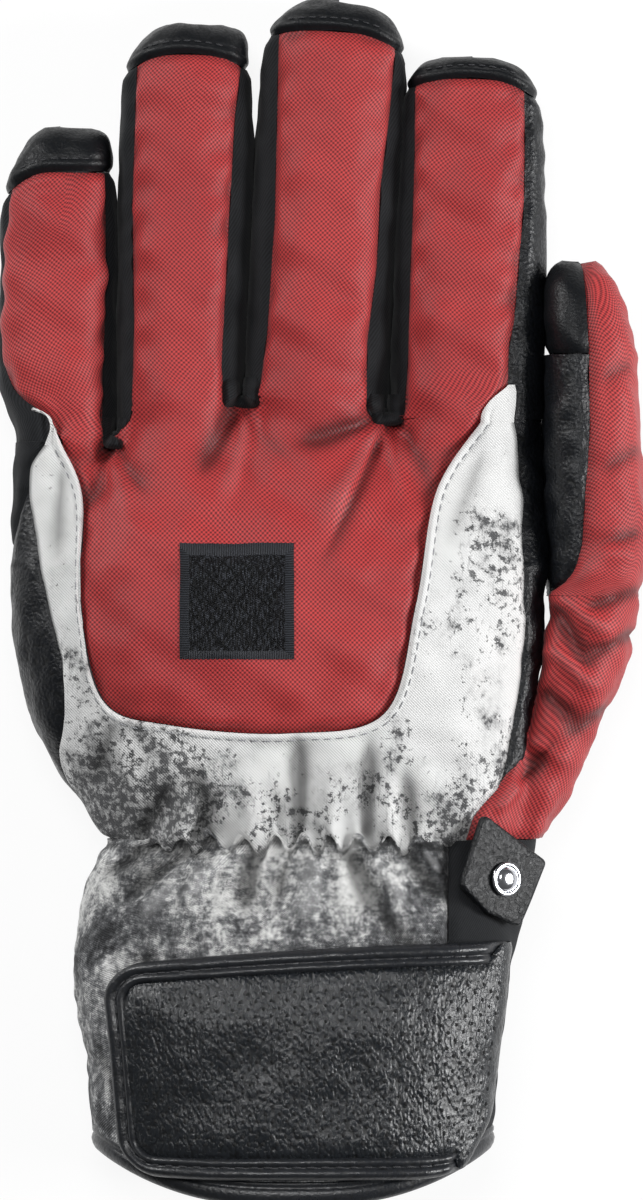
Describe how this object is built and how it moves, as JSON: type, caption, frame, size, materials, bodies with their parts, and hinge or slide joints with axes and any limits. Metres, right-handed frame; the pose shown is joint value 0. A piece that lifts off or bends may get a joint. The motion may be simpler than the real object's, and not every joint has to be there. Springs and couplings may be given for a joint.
{
  "type": "ski glove",
  "caption": "Five-finger insulated ski glove for the left hand, with leather palm and caps, a wrist strap over the cuff and a snap tab.",
  "frame": {"origin": "centre of the glove's footprint, on the surface that it lies on, palm down", "axes": "+X to the thumb side, +Y to the fingertips, +Z out of the back of the hand"},
  "size_m": [0.1544, 0.2879, 0.0574],
  "materials": {
    "red_oxford": "woven oxford face fabric, matt",
    "white_print": "pale stretch fabric with a worn dark print",
    "grey_print": "grey stretch fabric with a worn pale print",
    "leather": "pebbled goat leather, satin",
    "perforated_leather": "long-grained leather with fine perforations",
    "softshell": "black twill softshell",
    "lining": "brushed fleece lining",
    "elastic": "woven elastic",
    "embroidery": "satin-stitched thread",
    "hook_and_loop": "hook-and-loop tape",
    "snap_metal": "polished plated brass"
  },
  "bodies": {
    "hand": {"back_panel": "red_oxford", "back_yoke": "white_print", "little_side_panel": "softshell", "heel_patch": "leather", "index_side_strip": "leather", "palm_panel": "leather", "thumb_base_panel": "red_oxford", "thumb_base_palm": "leather", "little_ring_gusset": "softshell", "ring_middle_gusset": "softshell", "middle_index_gusset": "softshell", "hand_liner": "lining", "thumb_base_liner": "lining", "wrist_elastic": "elastic", "emblem_patch": "embroidery", "cuff_back": "grey_print", "cuff_gusset": "softshell", "cuff_palm": "softshell", "cuff_liner": "lining", "hem_binding": "leather", "loop_patch": "hook_and_loop", "snap_stud": "snap_metal"},
    "little_finger": {"little_back": "red_oxford", "little_palm": "leather", "little_wall_inner": "softshell", "little_wall_outer": "softshell", "little_cap": "leather", "little_liner": "lining"},
    "ring_finger": {"ring_back": "red_oxford", "ring_palm": "leather", "ring_wall_inner": "softshell", "ring_wall_outer": "softshell", "ring_cap": "leather", "ring_liner": "lining"},
    "middle_finger": {"middle_back": "red_oxford", "middle_palm": "leather", "middle_wall_inner": "softshell", "middle_wall_outer": "softshell", "middle_cap": "leather", "middle_liner": "lining"},
    "index_finger": {"index_back": "red_oxford", "index_palm": "leather", "index_wall_inner": "leather", "index_wall_outer": "softshell", "index_cap": "leather", "index_liner": "lining"},
    "thumb": {"thumb_back": "red_oxford", "thumb_palm": "leather", "thumb_cap": "leather", "thumb_liner": "lining"},
    "strap": {"strap_panel": "perforated_leather", "strap_welt": "leather", "hook_patch": "hook_and_loop"},
    "snap_flap": {"snap_tab": "leather", "snap_cap": "snap_metal", "snap_socket": "snap_metal"}
  },
  "joints": [
    {"name": "little_knuckle", "type": "hinge", "parent": "hand", "child": "little_finger", "pos_m": [-0.0637, 0.0514, 0.014], "axis": [-0.9999, 0.014, 0], "range_deg": [0, 70], "stiffness_Nm_per_rad": 0.06},
    {"name": "ring_knuckle", "type": "hinge", "parent": "hand", "child": "ring_finger", "pos_m": [-0.0335, 0.0616, 0.014], "axis": [-0.9998, 0.0175, 0], "range_deg": [0, 70], "stiffness_Nm_per_rad": 0.06},
    {"name": "middle_knuckle", "type": "hinge", "parent": "hand", "child": "middle_finger", "pos_m": [-0.0012, 0.0616, 0.014], "axis": [-0.9978, 0.0663, 0], "range_deg": [0, 70], "stiffness_Nm_per_rad": 0.06},
    {"name": "index_knuckle", "type": "hinge", "parent": "hand", "child": "index_finger", "pos_m": [0.0352, 0.057, 0.014], "axis": [-0.9999, 0.014, 0], "range_deg": [0, 70], "stiffness_Nm_per_rad": 0.06},
    {"name": "thumb_spread", "type": "hinge", "parent": "hand", "child": "thumb", "pos_m": [0.0661, 0.012, 0.019], "axis": [0, 0, -1], "range_deg": [0, 35], "stiffness_Nm_per_rad": 0.05},
    {"name": "strap_lift", "type": "hinge", "parent": "hand", "child": "strap", "pos_m": [0.04335, -0.11, 0.03634], "axis": [0.1146, 0.9928, -0.036], "range_deg": [0, 140]},
    {"name": "snap_tab_lift", "type": "hinge", "parent": "hand", "child": "snap_flap", "pos_m": [0.05027, -0.07062, 0.03419], "axis": [0.3748, 0.8944, -0.244], "range_deg": [0, 100]}
  ]
}
